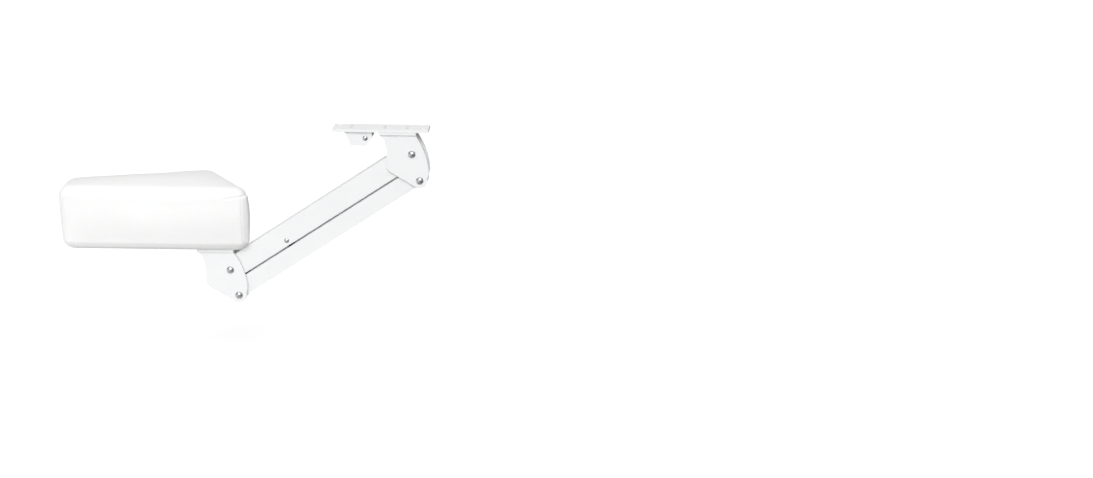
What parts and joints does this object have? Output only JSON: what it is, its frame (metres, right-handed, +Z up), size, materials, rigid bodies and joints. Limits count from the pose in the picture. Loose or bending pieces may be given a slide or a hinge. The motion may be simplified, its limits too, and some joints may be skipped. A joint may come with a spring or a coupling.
{
  "type": "face cradle cushion",
  "caption": "White wedge cushion on a parallelogram arm under the head end of a spa table; it lifts, stays level and rests a client's arms.",
  "frame": {"origin": "centre of the mounting plate's top face, in the middle of its four table bolts", "axes": "+X towards the table's foot end, +Y from the near side towards the table's middle, +Z up; drawn with the arm lowered onto its stop"},
  "size_m": [0.6633, 0.15, 0.328],
  "materials": {
    "white_powder_coat": "satin",
    "chromed_domes": "polished",
    "zinc_steel": "satin",
    "spring_steel": "satin",
    "black_rubber": "matte",
    "bush_plastic": "matte",
    "plywood": "matte",
    "brass_insert": "satin",
    "firm_foam": "matte",
    "soft_foam": "matte",
    "white_vinyl": "satin",
    "black_nonwoven": "matte"
  },
  "bodies": {
    "table_mount": {"mounting_plate": "white_powder_coat", "table_bracket": "white_powder_coat", "table_bracket_screws": "zinc_steel", "table_bracket_washers": "zinc_steel", "raise_stop_clevis": "white_powder_coat", "raise_stop_screws": "zinc_steel", "raise_stop_bolt": "chromed_domes", "raise_stop_sleeve": "black_rubber", "raise_stop_nut": "zinc_steel", "table_pivot_bolts": "chromed_domes", "table_pivot_washers": "zinc_steel", "table_pivot_springs": "spring_steel", "table_pivot_nuts": "zinc_steel"},
    "upper_arm": {"upper_link": "white_powder_coat", "upper_link_bushes": "bush_plastic", "stop_pin": "chromed_domes", "stop_pin_sleeve": "black_rubber", "stop_pin_nut": "zinc_steel"},
    "lower_arm": {"lower_link": "white_powder_coat", "lower_link_bushes": "bush_plastic"},
    "cushion": {"cushion_bracket": "white_powder_coat", "cushion_bracket_screws": "zinc_steel", "cushion_bracket_washers": "zinc_steel", "cushion_pivot_bolts": "chromed_domes", "cushion_pivot_washers": "zinc_steel", "cushion_pivot_springs": "spring_steel", "cushion_pivot_nuts": "zinc_steel", "base_board": "plywood", "board_inserts": "brass_insert", "foam_core": "firm_foam", "comfort_foam": "soft_foam", "cushion_cover": "white_vinyl", "cover_staples": "zinc_steel", "dust_cover": "black_nonwoven"}
  },
  "joints": [
    {"name": "arm_lift", "type": "hinge", "parent": "table_mount", "child": "upper_arm", "pos_m": [0.055, 0, -0.045], "axis": [0, 1, 0], "range_deg": [0, 35]},
    {"name": "lower_arm_follow", "type": "hinge", "parent": "table_mount", "child": "lower_arm", "pos_m": [0.06836, 0, -0.09318], "axis": [0, 1, 0], "range_deg": [0, 35]},
    {"name": "cushion_level", "type": "hinge", "parent": "upper_arm", "child": "cushion", "pos_m": [-0.27855, 0, -0.26577], "axis": [0, 1, 0], "range_deg": [-35, 0]}
  ],
  "couplings": [
    {"joint": "lower_arm_follow", "follows": "arm_lift", "ratio": 1},
    {"joint": "cushion_level", "follows": "arm_lift", "ratio": -1}
  ]
}
